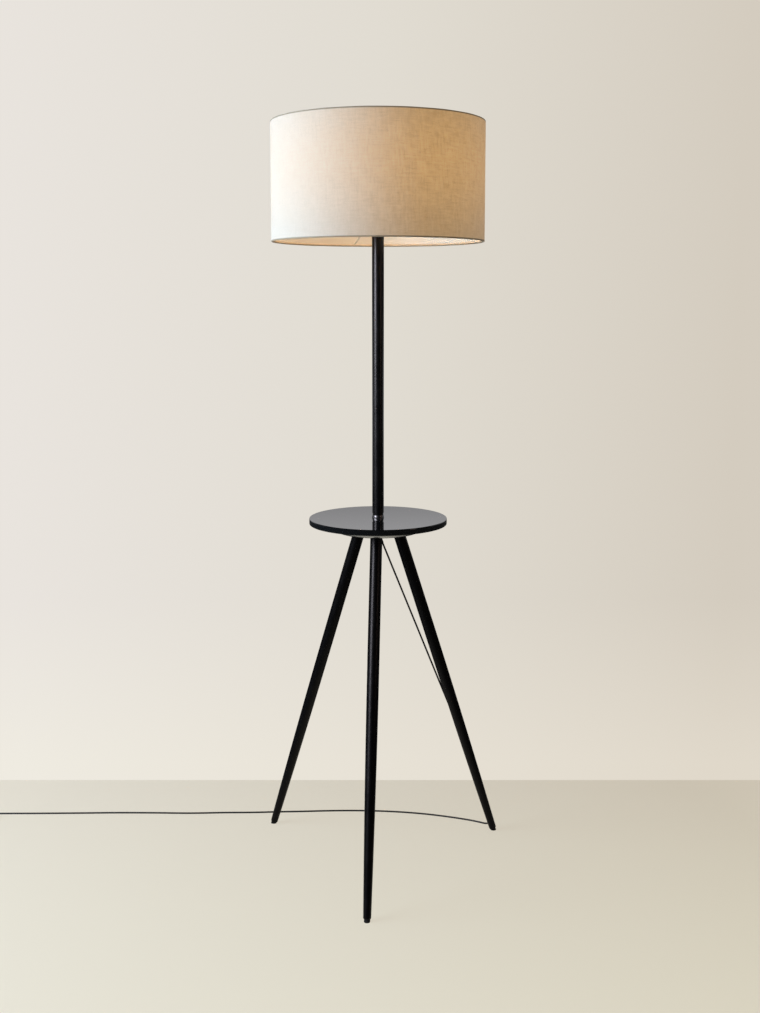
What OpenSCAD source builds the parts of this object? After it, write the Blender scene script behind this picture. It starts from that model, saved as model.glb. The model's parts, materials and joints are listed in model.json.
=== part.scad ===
// Floor lamp with a round side table. A drum shade stands on a slim pole, the pole stands on a
// gloss table top, and a polished hub plate under the top carries three splayed, tapered legs.
// Millimetres. The origin is on the pole's axis at floor level, +Z is up and the front leg
// points to -Y.

/* [Table] */
// Height of the table's upper face above the floor
table_h = 790; // [600:5:900]
// Diameter of the table top
table_d = 302; // [260:1:400]
// Thickness of the table top
table_t = 13; // [11:0.5:20]
// Rounding of the table top's edges
table_edge = 1.5; // [0.5:0.1:3]

/* [Hub plate] */
// Diameter of the hub plate under the table
hub_d = 196; // [180:2:230]
// Thickness of the hub plate
hub_t = 17; // [14:0.5:22]
// Rounding of the hub plate's lower edge
hub_edge = 11; // [4:0.5:13]
// Radius of the circle on which the three table screws sit
screw_circle_r = 76; // [68:1:80]

/* [Legs] */
// Distance from the pole's axis to the point where a foot stands
foot_r = 309; // [250:1:360]
// Distance from the pole's axis to the leg's axis at the underside of the hub plate
leg_top_r = 48; // [44:0.5:56]
// Diameter of a leg at its top
leg_d = 26; // [22:0.5:30]
// Diameter of a leg at its foot
foot_d = 16.5; // [14:0.5:20]
// Share of the leg's length that keeps the top diameter
taper_start = 0.3; // [0.1:0.05:0.6]
// Length along the leg's axis of the angled seat between hub plate and leg
seat_len = 7; // [6.5:0.1:9]
// Length along the leg's axis of the glide under the leg
glide_len = 5; // [4.5:0.1:7]
// Diameter of the glide
glide_d = 13; // [10:0.5:14]
// Diameter of the stud that joins leg and hub plate
stud_d = 8; // [6:0.5:10]
// Depth of the stud in the leg
stud_in_leg = 36; // [20:1:60]

/* [Pole] */
// Outside diameter of the pole
pole_d = 25.5; // [23:0.1:32]
// Wall of the pole tube
pole_wall = 1.5; // [1:0.1:2.5]
// Length of the pole tube
pole_len = 597; // [400:1:800]
// Height of the polished ring on the table
ring_h = 6; // [4:0.5:10]
// How far the polished ring stands proud of the pole, on the radius
ring_proud = 0.4; // [0:0.1:2]
// Radius of the ring's domed side
ring_round = 20; // [16:1:40]
// Height of the black neck between ring and pole
neck_h = 5; // [3:0.5:10]
// Depth of the neck's step below the pole's surface, on the radius
neck_step = 0.8; // [0.4:0.1:1.3]
// Diameter of the hollow threaded rod through table and hub plate
rod_d = 12; // [11:0.5:14]
// Bore of the hollow rod
rod_bore = 7; // [6:0.5:8]

/* [Shade] */
// Diameter of the drum shade at its lower edge
shade_d = 450; // [380:5:520]
// How much smaller the shade's radius is at its upper edge
shade_taper = 1.2; // [0:0.1:3]
// Height of the drum shade
shade_h = 244; // [200:1:300]
// How far the shade's lower edge lies below the pole's top
shade_drop = 16; // [10:1:24]
// Thickness of the linen cover
cover_t = 0.8; // [0.6:0.1:1.2]
// Thickness of the stiff liner that the linen is glued to
liner_t = 0.6; // [0.4:0.1:1]
// Diameter of the wire of the shade's two rings
wire_d = 3; // [2.5:0.1:4]
// Diameter of the wire of the three spokes
spoke_d = 3.5; // [3:0.1:4.5]
// Direction of the first spoke, counted from +X
spoke_turn = 108; // [0:1:119]

/* [Lampholder and bulb] */
// Height of the lampholder's cap
cap_h = 26; // [24:0.5:32]
// Height of the lampholder's threaded shell
shell_h = 34; // [32:0.5:40]
// Outside diameter of the threaded shell
shell_d = 39.4; // [38.5:0.1:41]
// Outside diameter of the two rings that clamp the shade
clamp_d = 58; // [50:1:62]
// Height of one clamping ring
clamp_h = 7; // [5:0.5:8]
// Outside diameter of the shade's fitter ring
fitter_d = 66; // [64:1:80]
// Thickness of the fitter ring
fitter_t = 1.5; // [1:0.1:3]
// Diameter of the bulb's glass
bulb_d = 60; // [45:1:80]
// Length of the bulb with its cap
bulb_len = 105; // [95:1:125]
// Diameter of the bulb's screw cap
bulb_cap_d = 26.6; // [26:0.1:27]
// Diameter of the push bar of the switch
bar_d = 4; // [3:0.1:5]
// Travel of the push bar
bar_travel = 7; // [5:0.5:9]

/* [Lead] */
// Diameter of the mains lead
lead_d = 4; // [3.6:0.1:4.6]
// Length of the tapered strain relief under the hub plate
relief_len = 28; // [20:1:36]
// Radius of the coil's outermost turn, at the lead's middle
coil_r = 29; // [28.8:0.1:29.2]
// Width of the plug
plug_w = 35; // [33:0.5:37]
// Length of the plug's body without its sleeve
plug_len = 24; // [20:1:30]
// Distance between the plug's pins
pin_pitch = 18.8; // [18:0.1:19.4]
// Length of a pin
pin_len = 19; // [17:0.5:20]
// Diameter of a pin
pin_d = 4; // [3.8:0.1:4.2]

/* [Hidden] */

// Clearances
fit_gap = 0.1;      // between a shaft and its hole
run_gap = 0.3;      // round the sliding push bar
soft_gap = 0.3;     // round the lead

// Directions counted from +X: the front, right and left leg, and the table screws between them
front_turn = -90;
leg_turns = [for (i = [0:2]) front_turn + 120 * i];
screw_turns = [for (turn = leg_turns) turn + 180];

// Levels
table_z = table_h - table_t;
hub_z = table_z - hub_t;
ring_z = table_h;
neck_z = ring_z + ring_h;
pole_z = neck_z + neck_h;
pole_top = pole_z + pole_len;
shade_z = pole_top - shade_drop;

// Legs
leg_tilt = atan((foot_r - leg_top_r) / hub_z);
leg_axis_len = hub_z / cos(leg_tilt);
leg_end = leg_axis_len - glide_len;
leg_edge = 2.5;
leg_chamfer = 0.5;
stud_in_hub = hub_t - 4;

// Screws and rod
screw_d = 4;
screw_head_d = 8;
screw_head_h = 2.4;
screw_in_table = table_t - 4;
counterbore_d = 30;
counterbore_h = 9.5;
washer_t = 1.5;
washer_d = 26;
nut_across_corners = 20.8;
nut_h = 6.5;
rod_bottom = hub_z + 1;
rod_in_pole = 22;
foot_plug_len = 30;
pole_bore = pole_d - 2 * pole_wall;

// Top of the pole
plug_flange = 3;
plug_spigot = 12;
nipple_d = 10;
nipple_bore = 7;
nipple_up = 8;
nipple_nut_h = 4;
nipple_nut_d = 17;

// Lampholder
cap_z = pole_top + plug_flange;
cap_wall = 2.5;
cap_floor = 4;
cap_foot_d = 28;
bar_z = cap_z + cap_floor + 11;
bar_end = 3.5;
insert_z = cap_z + cap_h;
insert_h = 7;
shell_wall = 2.2;
contact_h = 3;
contact_d = 6;
bulb_z = insert_z + insert_h + contact_h;
sheet_t = 0.6;
screw_shell_h = 25;
screw_shell_bore = bulb_cap_d + 4 * fit_gap;
clamp_lower_z = insert_z + 4;
fitter_z = clamp_lower_z + clamp_h;
clamp_upper_z = fitter_z + fitter_t;
terminal_y = 7;
terminal_x = 9;

// Bulb
bulb_cap_h = 24;
bulb_contact_h = 1;
bulb_neck_z = bulb_z + bulb_cap_h;
bulb_r = bulb_d / 2;
bulb_mid_z = bulb_z + bulb_len - bulb_r;
bulb_neck_r = 13;
bulb_glass_t = 1;

// Shade
cover_r = shade_d / 2 - cover_t;
liner_r = cover_r - fit_gap / 2;
liner_up = cover_t + fit_gap;
wire_r = wire_d / 2;
wire_ring_r = liner_r - liner_t - fit_gap - wire_r;
lip_r = wire_ring_r - wire_r - fit_gap;
lip_t = 0.6;
lip_h = cover_t + fit_gap + wire_r;
wire_z = shade_z + cover_t + fit_gap + wire_r;
spoke_in = [fitter_d / 2 + fit_gap, fitter_z + fitter_t / 2];
spoke_fall = fitter_z + fitter_t / 2 - wire_z - wire_r;
spoke_slope = asin(spoke_fall / wire_ring_r);
spoke_out_z = wire_z + wire_r + (spoke_d / 2 + fit_gap) / cos(spoke_slope);

// Mains lead. It leaves the hub plate's centre, is drawn straight to the back of the right leg,
// follows that leg to the floor and runs to the left along the floor.
relief_turn = 34.1;
relief_tilt = 23.9;
relief_head_h = 3;
relief_root = [0, 0, hub_z + 1 - relief_head_h];
relief_dir = [sin(relief_tilt) * cos(relief_turn), sin(relief_tilt) * sin(relief_turn), -cos(relief_tilt)];
relief_tip = relief_root + relief_len * relief_dir;
clip_len = 8;
clip_wall = 1.2;
clip_pad_t = 2.4;
clip_pad_side = 1.5;
clip_at = [481, 610, 740];      // distances along the leg
clip_sides = [77, 90, 100];     // directions round the leg
lead_leg_gap = 0.8;
lead_floor = lead_d / 2;

// Coil: turns piled in two layers, spiralling in on the lower and out on the upper
coil_mid = [-982, 123];
coil_start = 94.8;
coil_stop = 180 + 5 * 360;
coil_climb = 180;
coil_rings = 24;
loop_pitch = 5.1;
layer_pitch = 4.6;
coil_z = lead_floor + 0.6;
coil_sweep = coil_stop - coil_start;
coil_half = (coil_sweep - coil_climb) / 2;
coil_straight = 6;
tail_len = 14;
coil_heading = [-sin(coil_start), cos(coil_start), 0];
coil_gate = [coil_mid[0] + coil_r * cos(coil_start), coil_mid[1] + coil_r * sin(coil_start), coil_z];
lead_sides = 8;
coil_sides = 6;

// Plug, lying beside the coil with its pins towards -Y
plug_t = 2 * (coil_z + layer_pitch);
plug_mid = [coil_mid[0] - coil_r, coil_mid[1] - tail_len, coil_z + layer_pitch];
sleeve_len = 22;
sleeve_pin_len = 10;
pin_tip = 1;
tie_w = 6;
tie_t = 0.35;

// Points of the lead from the strain relief to the coil, chosen by hand
lead_points = [
  relief_tip,
  [43.7, 29.6, 639], [87.3, 59.2, 520.5], [131, 88.8, 401.5], [149.5, 101.3, 351.5],
  [166.8, 113.1, 304], [178.6, 119.7, 267.5], [190.8, 126.5, 230],
  [206.3, 135, 183], [221.4, 143, 136], [233.5, 149.3, 98.5],
  [245.5, 155.5, 61], [252.8, 159.5, 37.5], [256.5, 164, 20], [255, 172, 8.5],
  [247.5, 181.5, 3.2], [232, 191, 2], [206, 201.5, 2],
  [160, 215, 2], [100, 228, 2], [30, 236, 2], [-50, 237, 2], [-130, 231, 2], [-205, 221.5, 2],
  [-274, 213.5, 2], [-310, 208.5, 2], [-354, 204, 2], [-399, 200, 2], [-484, 190.5, 2],
  [-575, 186, 2], [-667, 180, 2], [-760, 171, 2], [-860, 162, 2], [-920, 157.2, 2],
  coil_gate - 26 * coil_heading - [0, 0, 0.6],
  coil_gate - coil_straight * coil_heading
];

// ---- Functions

function unit(v) = v / norm(v);

// Radius of a leg at a distance along its axis from the hub plate's underside
function leg_r(s) =
  let(share = max(0, s / leg_axis_len - taper_start) / (1 - taper_start))
  leg_d / 2 - (leg_d - foot_d) / 2 * share * share;

// Points of an arc from one angle to another
function arc(mid, r, from, to, steps) =
  [for (i = [0:steps]) let(a = from + (to - from) * i / steps) [mid[0] + r * cos(a), mid[1] + r * sin(a)]];

// Point at a share t between b and c on the smooth curve through a, b, c and d
function smooth(a, b, c, d, t) =
  0.5 * (2 * b + (c - a) * t + (2 * a - 5 * b + 4 * c - d) * t * t + (3 * b - a - 3 * c + d) * t * t * t);

// The route's points again, with one more between each two
function finer(p) = concat(
  [for (i = [0:len(p) - 2], t = [0, 0.5])
    smooth(p[max(i - 1, 0)], p[i], p[i + 1], p[min(i + 2, len(p) - 1)], t)],
  [p[len(p) - 1]]);

// Direction of the route at a point
function heading(p, i) =
  i == 0 ? unit(p[1] - p[0])
  : i == len(p) - 1 ? unit(p[i] - p[i - 1])
  : unit(unit(p[i + 1] - p[i]) + unit(p[i] - p[i - 1]));

// Side vectors of the rings, carried along the route without a twist
function sides_of(p, i, n) =
  i == len(p) ? []
  : let(t = heading(p, i), m = unit(n - (n * t) * t)) concat([m], sides_of(p, i + 1, m));

// Height and radius of the coil at an angle counted from its start
function coil_radius(a) =
  a < coil_half ? coil_r - loop_pitch * a / 360
  : a < coil_half + coil_climb ? coil_r - loop_pitch * coil_half / 360
  : coil_r - loop_pitch * (coil_sweep - a) / 360;

function coil_height(a) =
  coil_z + layer_pitch * min(1, max(0, (a - coil_half) / coil_climb));

function coil_point(a) =
  let(r = coil_radius(a))
  [coil_mid[0] + r * cos(coil_start + a), coil_mid[1] + r * sin(coil_start + a), coil_height(a)];

coil_steps = round(coil_sweep / 360 * coil_rings);
coil_points = concat(
  [coil_gate - coil_straight * coil_heading],
  [for (i = [0:coil_steps]) coil_point(coil_sweep * i / coil_steps)],
  [[coil_mid[0] - coil_r, coil_mid[1] - tail_len, coil_z + layer_pitch]]);

// Least gap between two turns of the coil, from points that are at least half a turn apart
coil_gap = min([for (i = [0:coil_steps], j = [i + coil_rings / 2:1:coil_steps])
  norm(coil_point(coil_sweep * i / coil_steps) - coil_point(coil_sweep * j / coil_steps))]) - lead_d;
echo(coil_turns = coil_sweep / 360, coil_least_gap = coil_gap);

function run_length(p) =
  let(parts = [for (i = [0:len(p) - 2]) norm(p[i + 1] - p[i])])
  parts * [for (part = parts) 1];
echo(lead_run_length = run_length(finer(lead_points)), coil_length = run_length(coil_points));

// ---- Shared shapes

// A tube of a given radius swept along points
module swept(p, r, sides) {
  across = sides_of(p, 0, [0.2, 1, 0.1]);
  rings = [for (i = [0:len(p) - 1], k = [0:sides - 1])
    let(t = heading(p, i), m = across[i], n = cross(t, m), a = 360 * (k + 0.5) / sides)
    p[i] + r * (cos(a) * m + sin(a) * n)];
  skin = [for (i = [0:len(p) - 2], k = [0:sides - 1], half = [0, 1])
    let(a = i * sides + k, b = i * sides + (k + 1) % sides)
    half == 0 ? [a, a + sides, b] : [b, a + sides, b + sides]];
  first = [for (k = [0:sides - 1]) k];
  last = [for (k = [sides - 1:-1:0]) (len(p) - 1) * sides + k];
  polyhedron(points = rings, faces = concat(skin, [first], [last]), convexity = 12);
}

// Children placed on a leg's axis: local +Z runs down the leg from the hub plate's underside
module on_leg(turn) {
  rotate([0, 0, turn])
    translate([leg_top_r, 0, hub_z])
      rotate([0, 180 - leg_tilt, 0])
        children();
}

// An upright tube
module tube(z, h, d, bore) {
  translate([0, 0, z])
    difference() {
      cylinder(h = h, d = d, $fn = 96);
      translate([0, 0, -1]) cylinder(h = h + 2, d = bore, $fn = 96);
    }
}

// A hexagon nut with a round bore
module hex_nut(z, h, across, bore) {
  translate([0, 0, z])
    difference() {
      cylinder(h = h, d = across, $fn = 6);
      translate([0, 0, -1]) cylinder(h = h + 2, d = bore, $fn = 48);
    }
}

// ---- Table and hub

module table_top() {
  color([0.03, 0.03, 0.035])
    difference() {
      translate([0, 0, table_z])
        rotate_extrude($fn = 180)
          polygon(concat([[0, 0]],
            arc([table_d / 2 - table_edge, table_edge], table_edge, -90, 0, 4),
            arc([table_d / 2 - table_edge, table_t - table_edge], table_edge, 0, 90, 4),
            [[0, table_t]]));
      translate([0, 0, table_z - 1]) cylinder(h = table_t + 2, d = rod_d + 2 * fit_gap, $fn = 64);
      for (turn = screw_turns)
        rotate([0, 0, turn])
          translate([screw_circle_r, 0, table_z - 1])
            cylinder(h = screw_in_table + 1 + fit_gap, d = screw_d + 2 * fit_gap, $fn = 32);
    }
}

module hub_plate() {
  color([0.72, 0.73, 0.75])
    difference() {
      translate([0, 0, hub_z])
        rotate_extrude($fn = 180)
          polygon(concat([[0, 0]],
            arc([hub_d / 2 - hub_edge, hub_edge], hub_edge, -90, 0, 8),
            [[hub_d / 2, hub_t], [0, hub_t]]));
      translate([0, 0, hub_z - 1]) cylinder(h = hub_t + 2, d = rod_d + 2 * fit_gap, $fn = 64);
      translate([0, 0, hub_z - 1]) cylinder(h = counterbore_h + 1, d = counterbore_d, $fn = 64);
      for (turn = leg_turns)
        on_leg(turn)
          translate([0, 0, -stud_in_hub])
            cylinder(h = stud_in_hub + 6, d = stud_d + 2 * fit_gap, $fn = 48);
      for (turn = screw_turns)
        rotate([0, 0, turn])
          translate([screw_circle_r, 0, hub_z - 1]) {
            cylinder(h = hub_t + 2, d = screw_d + 2 * fit_gap, $fn = 32);
            cylinder(h = 1 + screw_head_h + fit_gap, d = screw_head_d + 2 * fit_gap, $fn = 32);
          }
    }
}

// Screws that hold the hub plate to the table top, their heads sunk in the plate
module table_screws() {
  color([0.55, 0.55, 0.57])
    for (turn = screw_turns)
      rotate([0, 0, turn])
        translate([screw_circle_r, 0, hub_z])
          difference() {
            union() {
              cylinder(h = screw_head_h, d = screw_head_d, $fn = 32);
              cylinder(h = hub_t + screw_in_table, d = screw_d, $fn = 32);
            }
            translate([0, 0, -1]) cylinder(h = 2.2, d = 3.4, $fn = 6);
          }
}

// ---- Legs

module leg(turn) {
  body_len = leg_end - leg_edge;
  steps = 20;
  end_r = leg_r(leg_end);
  color([0.035, 0.035, 0.04])
    on_leg(turn)
      difference() {
        rotate_extrude($fn = 96)
          polygon(concat(
            [[0, seat_len], [leg_r(0) - leg_chamfer, seat_len], [leg_r(0), seat_len + leg_chamfer]],
            [for (i = [0:steps])
              let(s = leg_axis_len * taper_start + (body_len - leg_axis_len * taper_start) * i / steps)
              [leg_r(s), s]],
            [for (a = [30, 60, 90]) [end_r - leg_edge * (1 - cos(a)), body_len + leg_edge * sin(a)]],
            [[0, leg_end]]));
        translate([0, 0, seat_len - 1])
          cylinder(h = stud_in_leg + 1, d = stud_d + 2 * fit_gap, $fn = 48);
      }
}

module leg_front() { leg(leg_turns[0]); }
module leg_right() { leg(leg_turns[1]); }
module leg_left() { leg(leg_turns[2]); }

// Angled seats that turn the flat underside of the hub plate square to the legs
module leg_seats() {
  color([0.05, 0.05, 0.055])
    for (turn = leg_turns)
      difference() {
        on_leg(turn)
          difference() {
            translate([0, 0, -2 * seat_len]) cylinder(h = 3 * seat_len, d = leg_d - 1, $fn = 96);
            translate([0, 0, -2 * seat_len - 1])
              cylinder(h = 3 * seat_len + 2, d = stud_d + 2 * fit_gap, $fn = 48);
          }
        rotate([0, 0, turn])
          translate([leg_top_r - 2 * leg_d, -leg_d, hub_z]) cube([4 * leg_d, 2 * leg_d, 4 * seat_len]);
      }
}

module leg_studs() {
  color([0.6, 0.6, 0.62])
    for (turn = leg_turns)
      on_leg(turn)
        translate([0, 0, 1 - stud_in_hub])
          cylinder(h = stud_in_hub - 1 + seat_len + stud_in_leg - 1, d = stud_d, $fn = 48);
}

// Glides under the legs, cut level where they stand on the floor
module foot_glides() {
  color([0.02, 0.02, 0.02])
    for (turn = leg_turns)
      difference() {
        on_leg(turn)
          translate([0, 0, leg_end]) cylinder(h = 3 * glide_len, d = glide_d, $fn = 48);
        rotate([0, 0, turn])
          translate([foot_r - 2 * glide_d, -glide_d, -6 * glide_len])
            cube([4 * glide_d, 2 * glide_d, 6 * glide_len]);
      }
}

// ---- Pole

module centre_rod() {
  color([0.62, 0.62, 0.64])
    tube(rod_bottom, pole_z + rod_in_pole - rod_bottom, rod_d, rod_bore);
}

module rod_washer() {
  color([0.62, 0.62, 0.64])
    tube(hub_z + counterbore_h - washer_t, washer_t, washer_d, rod_d + 2 * fit_gap);
}

module rod_nut() {
  color([0.62, 0.62, 0.64])
    hex_nut(hub_z + counterbore_h - washer_t - nut_h, nut_h, nut_across_corners, rod_d + 2 * fit_gap);
}

module base_ring() {
  edge = 0.3;
  outer = pole_d / 2 + ring_proud;
  rise = asin((ring_h - edge) / ring_round);
  color([0.8, 0.8, 0.82])
    translate([0, 0, ring_z])
      rotate_extrude($fn = 96)
        polygon(concat(
          [[rod_d / 2 + fit_gap, 0]],
          arc([outer - ring_round, 0], ring_round, 0, rise, 8),
          [[outer - ring_round * (1 - cos(rise)) - edge, ring_h], [rod_d / 2 + fit_gap, ring_h]]));
}

// Black plug in the pole's lower end: its collar shows as the neck above the ring
module pole_foot() {
  color([0.03, 0.03, 0.03])
    difference() {
      union() {
        translate([0, 0, neck_z]) cylinder(h = neck_h, d = pole_d - 2 * neck_step, $fn = 96);
        translate([0, 0, neck_z]) cylinder(h = neck_h + foot_plug_len, d = pole_bore - 2 * fit_gap, $fn = 96);
      }
      translate([0, 0, neck_z - 1])
        cylinder(h = neck_h + foot_plug_len + 2, d = rod_d + 2 * fit_gap, $fn = 64);
    }
}

module pole_tube() {
  color([0.05, 0.05, 0.055])
    tube(pole_z, pole_len, pole_d, pole_bore);
}

module pole_top_plug() {
  color([0.05, 0.05, 0.055])
    difference() {
      union() {
        translate([0, 0, pole_top]) cylinder(h = plug_flange, d = pole_d, $fn = 96);
        translate([0, 0, pole_top - plug_spigot])
          cylinder(h = plug_spigot + 1, d = pole_bore - 2 * fit_gap, $fn = 96);
      }
      translate([0, 0, pole_top - plug_spigot - 1])
        cylinder(h = plug_spigot + plug_flange + 2, d = nipple_d + 2 * fit_gap, $fn = 64);
    }
}

module holder_nipple() {
  low = pole_top - plug_spigot - nipple_nut_h - 1;
  color([0.75, 0.62, 0.35])
    tube(low, cap_z + nipple_up - low, nipple_d, nipple_bore);
}

module nipple_nut() {
  color([0.75, 0.62, 0.35])
    hex_nut(pole_top - plug_spigot - nipple_nut_h, nipple_nut_h, nipple_nut_d, nipple_d + 2 * fit_gap);
}

// ---- Lampholder

module lampholder_cap() {
  color([0.04, 0.04, 0.04])
    difference() {
      translate([0, 0, cap_z])
        rotate_extrude($fn = 96)
          polygon([
            [nipple_d / 2 + fit_gap, 0], [cap_foot_d / 2, 0],
            [shell_d / 2 - 1, cap_h * 0.45], [shell_d / 2, cap_h],
            [shell_d / 2 - cap_wall, cap_h], [shell_d / 2 - 1 - cap_wall, cap_h * 0.45],
            [cap_foot_d / 2 - cap_wall, cap_floor], [nipple_d / 2 + fit_gap, cap_floor]
          ]);
      translate([-shell_d, 0, bar_z])
        rotate([0, 90, 0]) cylinder(h = 2 * shell_d, d = bar_d + 2 * run_gap, $fn = 48);
    }
}

// Push bar of the switch: pushed through the cap from one side or the other
module switch_bar() {
  bevel = 0.6;
  half = shell_d / 2 + bar_end;
  color([0.04, 0.04, 0.04])
    translate([-half, 0, bar_z])
      rotate([0, 90, 0]) {
        cylinder(h = bevel, d1 = bar_d - 2 * bevel, d2 = bar_d, $fn = 48);
        translate([0, 0, bevel]) cylinder(h = 2 * half + bar_travel - 2 * bevel, d = bar_d, $fn = 48);
        translate([0, 0, 2 * half + bar_travel - bevel])
          cylinder(h = bevel, d1 = bar_d, d2 = bar_d - 2 * bevel, $fn = 48);
      }
}

module lampholder_insert() {
  color([0.85, 0.84, 0.8])
    translate([0, 0, insert_z])
      difference() {
        cylinder(h = insert_h, d = shell_d - 2 * shell_wall - 2 * fit_gap, $fn = 96);
        for (side = [-1, 1])
          translate([side * terminal_x, 0, -1]) cylinder(h = 4, d = 3.2, $fn = 32);
      }
}

module terminal_screws() {
  color([0.75, 0.62, 0.35])
    for (side = [-1, 1])
      translate([side * terminal_x, 0, insert_z - 1.2]) {
        cylinder(h = 1.2, d = 4.4, $fn = 32);
        cylinder(h = 3.8, d = 3, $fn = 32);
      }
}

module screw_shell() {
  color([0.75, 0.62, 0.35])
    tube(insert_z + insert_h, screw_shell_h, screw_shell_bore + 2 * sheet_t, screw_shell_bore);
}

module centre_contact() {
  color([0.75, 0.62, 0.35])
    translate([0, 0, insert_z + insert_h]) cylinder(h = contact_h, d = contact_d, $fn = 32);
}

module lampholder_shell() {
  color([0.04, 0.04, 0.04])
    tube(insert_z, shell_h, shell_d, shell_d - 2 * shell_wall);
}

module clamp_ring(z) {
  edge = 1.2;
  color([0.04, 0.04, 0.04])
    translate([0, 0, z])
      rotate_extrude($fn = 96)
        polygon(concat(
          [[shell_d / 2 + fit_gap, 0]],
          arc([clamp_d / 2 - edge, edge], edge, -90, 0, 3),
          arc([clamp_d / 2 - edge, clamp_h - edge], edge, 0, 90, 3),
          [[shell_d / 2 + fit_gap, clamp_h]]));
}

module clamp_ring_lower() { clamp_ring(clamp_lower_z); }
module clamp_ring_upper() { clamp_ring(clamp_upper_z); }

// ---- Bulb

module bulb_cap() {
  color([0.78, 0.78, 0.8])
    translate([0, 0, bulb_z])
      rotate_extrude($fn = 96)
        polygon([
          [0, bulb_contact_h], [contact_d / 2 + 1, bulb_contact_h], [bulb_cap_d / 2, 5],
          [bulb_cap_d / 2, bulb_cap_h], [0, bulb_cap_h]
        ]);
}

module bulb_contact() {
  color([0.75, 0.62, 0.35])
    translate([0, 0, bulb_z]) cylinder(h = bulb_contact_h, d = contact_d - 1, $fn = 32);
}

// Outline of the bulb's glass, set in by a distance
function glass_outline(inset) =
  let(r = bulb_r - inset,
      neck = bulb_neck_r - inset,
      join = -52,
      bell = [r * cos(join), bulb_mid_z + r * sin(join)],
      foot = [neck, bulb_neck_z])
  concat([foot],
    [for (i = [1:5]) let(t = i / 6)
      [neck + (bell[0] - neck) * t * t, bulb_neck_z + (bell[1] - bulb_neck_z) * t]],
    arc([0, bulb_mid_z], r, join, 90, 14));

module bulb_glass() {
  color([0.98, 0.96, 0.9])
    rotate_extrude($fn = 96)
      polygon(concat(
        glass_outline(0),
        [for (i = [len(glass_outline(bulb_glass_t)) - 1:-1:0]) glass_outline(bulb_glass_t)[i]]));
}

// ---- Shade

module shade_fitter_ring() {
  color([0.85, 0.85, 0.85])
    tube(fitter_z, fitter_t, fitter_d, shell_d + 4 * fit_gap);
}

module shade_spokes() {
  run = wire_ring_r - spoke_in[0];
  fall = spoke_in[1] - spoke_out_z;
  color([0.85, 0.85, 0.85])
    for (i = [0:2])
      rotate([0, 0, spoke_turn + 120 * i])
        translate([spoke_in[0] + spoke_d / 2 * sin(atan(fall / run)), 0, spoke_in[1]])
          rotate([0, 90 + atan(fall / run), 0])
            cylinder(h = norm([run, fall]), d = spoke_d, $fn = 32);
}

module wire_ring(r, z) {
  color([0.85, 0.85, 0.85])
    translate([0, 0, z])
      rotate_extrude($fn = 180)
        translate([r, 0]) circle(d = wire_d, $fn = 24);
}

module shade_bottom_ring() { wire_ring(wire_ring_r, wire_z); }
module shade_top_ring() { wire_ring(wire_ring_r - shade_taper, shade_z + shade_h - (wire_z - shade_z)); }

module shade_liner() {
  color([0.97, 0.94, 0.86])
    translate([0, 0, shade_z])
      rotate_extrude($fn = 180)
        polygon([
          [liner_r - liner_t, liner_up], [liner_r, liner_up],
          [liner_r - shade_taper, shade_h - liner_up],
          [liner_r - liner_t - shade_taper, shade_h - liner_up]
        ]);
}

// Linen cover, rolled round the wire rings at both edges
module shade_cover() {
  inner = lip_r - lip_t;
  top_inner = inner - shade_taper;
  top_lip_r = lip_r - shade_taper;
  color([0.86, 0.78, 0.64])
    translate([0, 0, shade_z])
      rotate_extrude($fn = 180)
        polygon([
          [inner, 0], [shade_d / 2, 0],
          [shade_d / 2 - shade_taper, shade_h], [top_inner, shade_h],
          [top_inner, shade_h - lip_h], [top_lip_r, shade_h - lip_h],
          [top_lip_r, shade_h - cover_t], [cover_r - shade_taper, shade_h - cover_t],
          [cover_r, cover_t], [lip_r, cover_t],
          [lip_r, lip_h], [inner, lip_h]
        ]);
}

// ---- Lead

inner_lead_top = cap_z + cap_floor - 1;

module inner_lead() {
  color([0.03, 0.03, 0.03])
    translate([0, 0, rod_bottom]) cylinder(h = inner_lead_top - rod_bottom, d = lead_d, $fn = 32);
}

// The lead's two cores, which part above the pole and pass the push bar on both sides
module lead_cores() {
  core_d = 1.7;
  rise = insert_z - 0.2 - inner_lead_top;
  lean = atan((terminal_y - 1.8) / rise);
  color([0.5, 0.3, 0.15])
    for (side = [-1, 1])
      intersection() {
        translate([0, side, inner_lead_top - 1])
          rotate([-side * lean, 0, 0]) cylinder(h = rise + 4, d = core_d, $fn = 24);
        translate([-terminal_y, -2 * terminal_y, inner_lead_top])
          cube([2 * terminal_y, 4 * terminal_y, rise]);
      }
}

// Tapered sleeve that leans with the lead, under a round head that closes the rod
module strain_relief() {
  color([0.03, 0.03, 0.03]) {
    difference() {
      union() {
        translate(relief_root) cylinder(h = relief_head_h, d = rod_d, $fn = 48);
        translate(relief_root)
          rotate([0, 0, relief_turn])
            rotate([0, 180 - relief_tilt, 0])
              translate([0, 0, -relief_head_h / 2])
                cylinder(h = relief_len + relief_head_h / 2, d1 = 8.4, d2 = lead_d + 1.4, $fn = 48);
      }
      translate([-rod_d, -rod_d, rod_bottom]) cube(2 * rod_d);
    }
  }
}

module lead_run() {
  color([0.03, 0.03, 0.03]) swept(finer(lead_points), lead_d / 2, lead_sides);
}

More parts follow.
